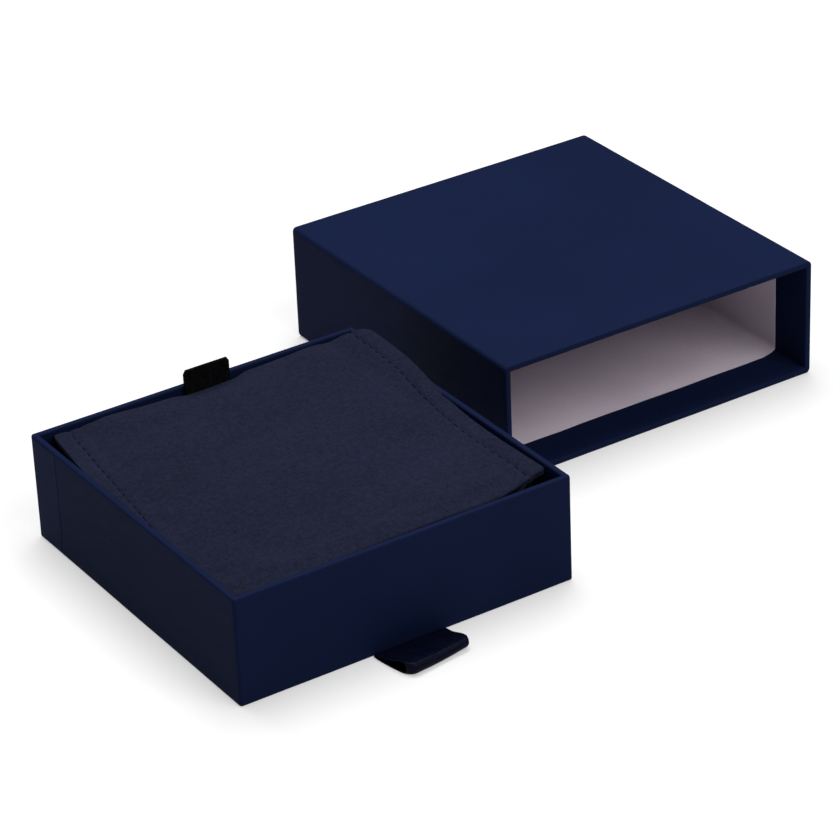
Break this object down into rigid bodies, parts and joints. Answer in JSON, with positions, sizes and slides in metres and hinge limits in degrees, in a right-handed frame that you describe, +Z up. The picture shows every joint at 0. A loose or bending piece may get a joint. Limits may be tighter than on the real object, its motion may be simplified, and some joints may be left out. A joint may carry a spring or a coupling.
{
  "type": "jewelry gift box",
  "caption": "Paper-covered drawer box for jewelry: slipcase sleeve, pull-out drawer with ribbon, lift-out foam insert and a soft padded suede pouch.",
  "frame": {"origin": "centre of the outline of drawer and sleeve together, on the table", "axes": "+X along the drawer's front to the sleeve's side, +Y from the drawer's front to its back, +Z up"},
  "size_m": [0.1972, 0.155, 0.0324],
  "materials": {
    "greyboard": "unbleached, matt",
    "tape": "gummed kraft, matt",
    "navy_paper": "fine-textured covering paper, matt",
    "lining_paper": "uncoated, matt",
    "navy_ribbon": "woven satin",
    "black_ribbon": "ribbed weave",
    "foam": "open-cell foam, matt",
    "flock": "short pile, matt",
    "suede": "brushed microfibre, soft sheen",
    "wadding": "loose fibre",
    "thread": "twisted thread"
  },
  "bodies": {
    "sleeve": {"sleeve_board": "greyboard", "sleeve_back_board": "greyboard", "sleeve_seam_tape": "tape", "sleeve_wrap": "navy_paper", "sleeve_back_paper": "navy_paper", "sleeve_liner": "lining_paper"},
    "drawer": {"drawer_board": "greyboard", "drawer_corner_tapes": "tape", "drawer_wrap": "navy_paper", "drawer_base_sheet": "navy_paper", "drawer_floor_card": "navy_paper", "pull_ribbon_tails": "navy_ribbon"},
    "pull_ribbon": {"pull_ribbon_loop": "navy_ribbon"},
    "insert": {"insert_card": "greyboard", "insert_foam": "foam", "insert_cover": "flock", "lift_ribbon": "black_ribbon"},
    "pouch": {"pouch_shell": "suede", "pouch_pad": "wadding", "pouch_stitches": "thread"}
  },
  "joints": [
    {"name": "drawer_slide", "type": "slide", "parent": "sleeve", "child": "drawer", "axis": [0, -1, 0], "range_m": [-0.048, 0.0472]},
    {"name": "pull_ribbon_fold", "type": "hinge", "parent": "drawer", "child": "pull_ribbon", "pos_m": [-0.05398, -0.0653, 0.00045], "axis": [-1, 0, 0], "range_deg": [0, 55]},
    {"name": "insert_lift", "type": "slide", "parent": "drawer", "child": "insert", "axis": [0, 0, 1], "range_m": [0, 0.03]},
    {"name": "pouch_lift", "type": "slide", "parent": "insert", "child": "pouch", "axis": [0, 0, 1], "range_m": [0, 0.02]}
  ]
}
